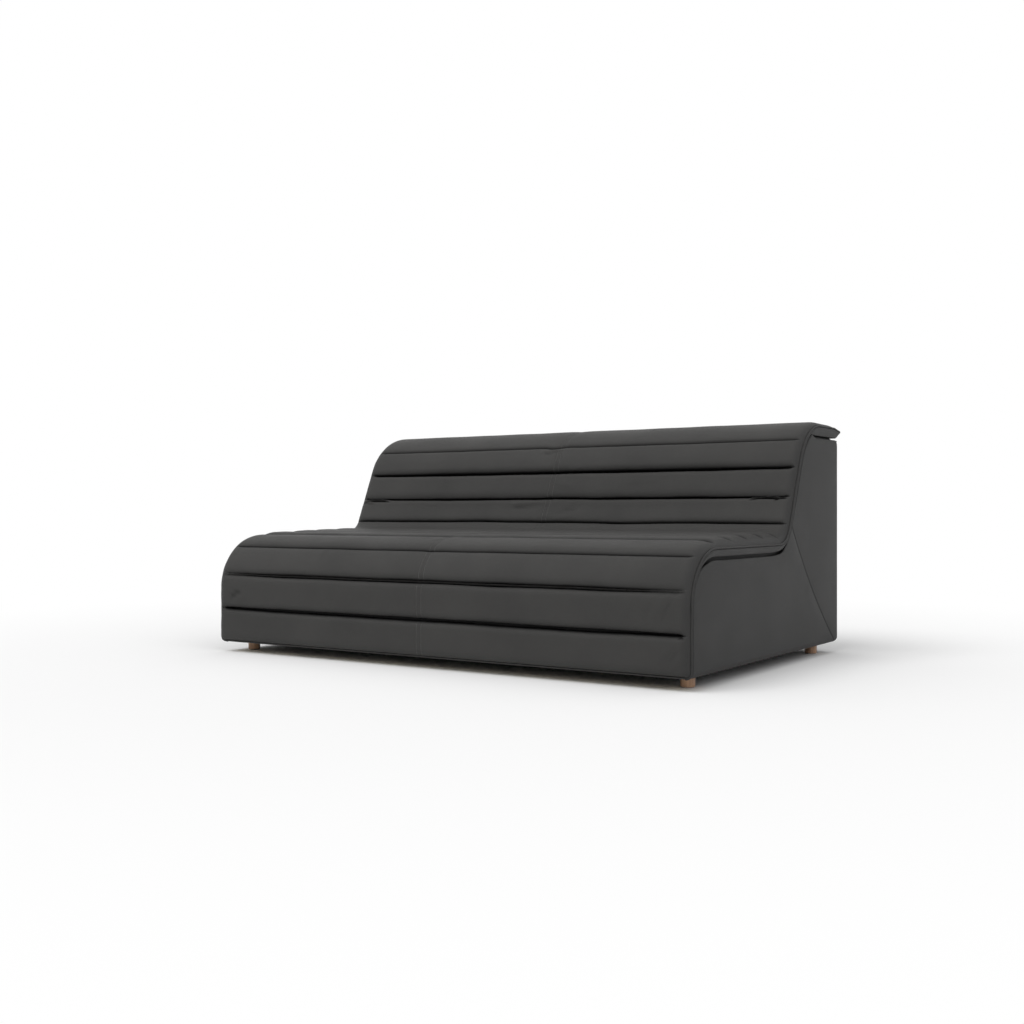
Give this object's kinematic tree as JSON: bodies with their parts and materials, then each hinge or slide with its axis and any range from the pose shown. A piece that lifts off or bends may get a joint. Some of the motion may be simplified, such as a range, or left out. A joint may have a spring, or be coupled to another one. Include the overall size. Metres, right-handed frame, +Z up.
{
  "type": "armless sofa",
  "caption": "Armless lounge sofa with a low seat, a leaning back with an overhanging top roll, and a channel-quilted leather cover on small round wooden feet.",
  "frame": {"origin": "on the floor under the middle of the sofa's bounding box", "axes": "+X along the sofa's length to the right of someone facing its front, front of the seat towards -Y, +Z up"},
  "size_m": [1.761, 1.1672, 0.7706],
  "materials": {
    "quilt_leather": "semi-matt charcoal leather, fine grain",
    "cover_leather": "semi-matt charcoal leather, fine grain",
    "welt_leather": "semi-matt charcoal leather",
    "foam": "open-cell foam",
    "plywood": "sanded, unfinished",
    "softwood": "planed, unfinished",
    "foot_wood": "satin oiled",
    "spring_steel": "drawn wire",
    "zinc_steel": "zinc plated",
    "under_cloth": "thin non-woven cloth",
    "webbing": "elastic webbing",
    "felt": "pressed felt"
  },
  "bodies": {
    "root": {"front_quilt_right": "quilt_leather", "front_quilt_left": "quilt_leather", "seat_quilt_right": "quilt_leather", "seat_quilt_left": "quilt_leather", "back_quilt_right": "quilt_leather", "back_quilt_left": "quilt_leather", "top_roll_quilt_right": "quilt_leather", "top_roll_quilt_left": "quilt_leather", "side_cover_right": "cover_leather", "side_cover_left": "cover_leather", "side_gore_right": "cover_leather", "side_gore_left": "cover_leather", "rear_cover": "cover_leather", "edge_welt_right": "welt_leather", "edge_welt_left": "welt_leather", "front_foam": "foam", "seat_topper": "foam", "back_foam": "foam", "top_roll_foam": "foam", "seat_core": "foam", "side_panel_right": "plywood", "side_panel_left": "plywood", "front_board": "plywood", "head_board": "plywood", "centre_stretcher": "plywood", "front_spring_rail": "softwood", "rear_spring_rail": "softwood", "lower_webbing_rail": "softwood", "upper_webbing_rail": "softwood", "top_board": "softwood", "rear_bottom_rail": "softwood", "rear_middle_rail": "softwood", "bottom_stretcher_right": "softwood", "bottom_stretcher_left": "softwood", "rear_posts": "softwood", "corner_blocks": "softwood", "foot_front_right": "foot_wood", "foot_front_left": "foot_wood", "foot_rear_right": "foot_wood", "foot_rear_left": "foot_wood", "seat_springs": "spring_steel", "spring_clips": "spring_steel", "frame_screws": "zinc_steel", "hanger_bolts": "zinc_steel", "foot_nuts": "zinc_steel", "under_cloth": "under_cloth", "spring_cloth": "under_cloth", "back_webbing": "webbing", "felt_glides": "felt"}
  },
  "joints": []
}
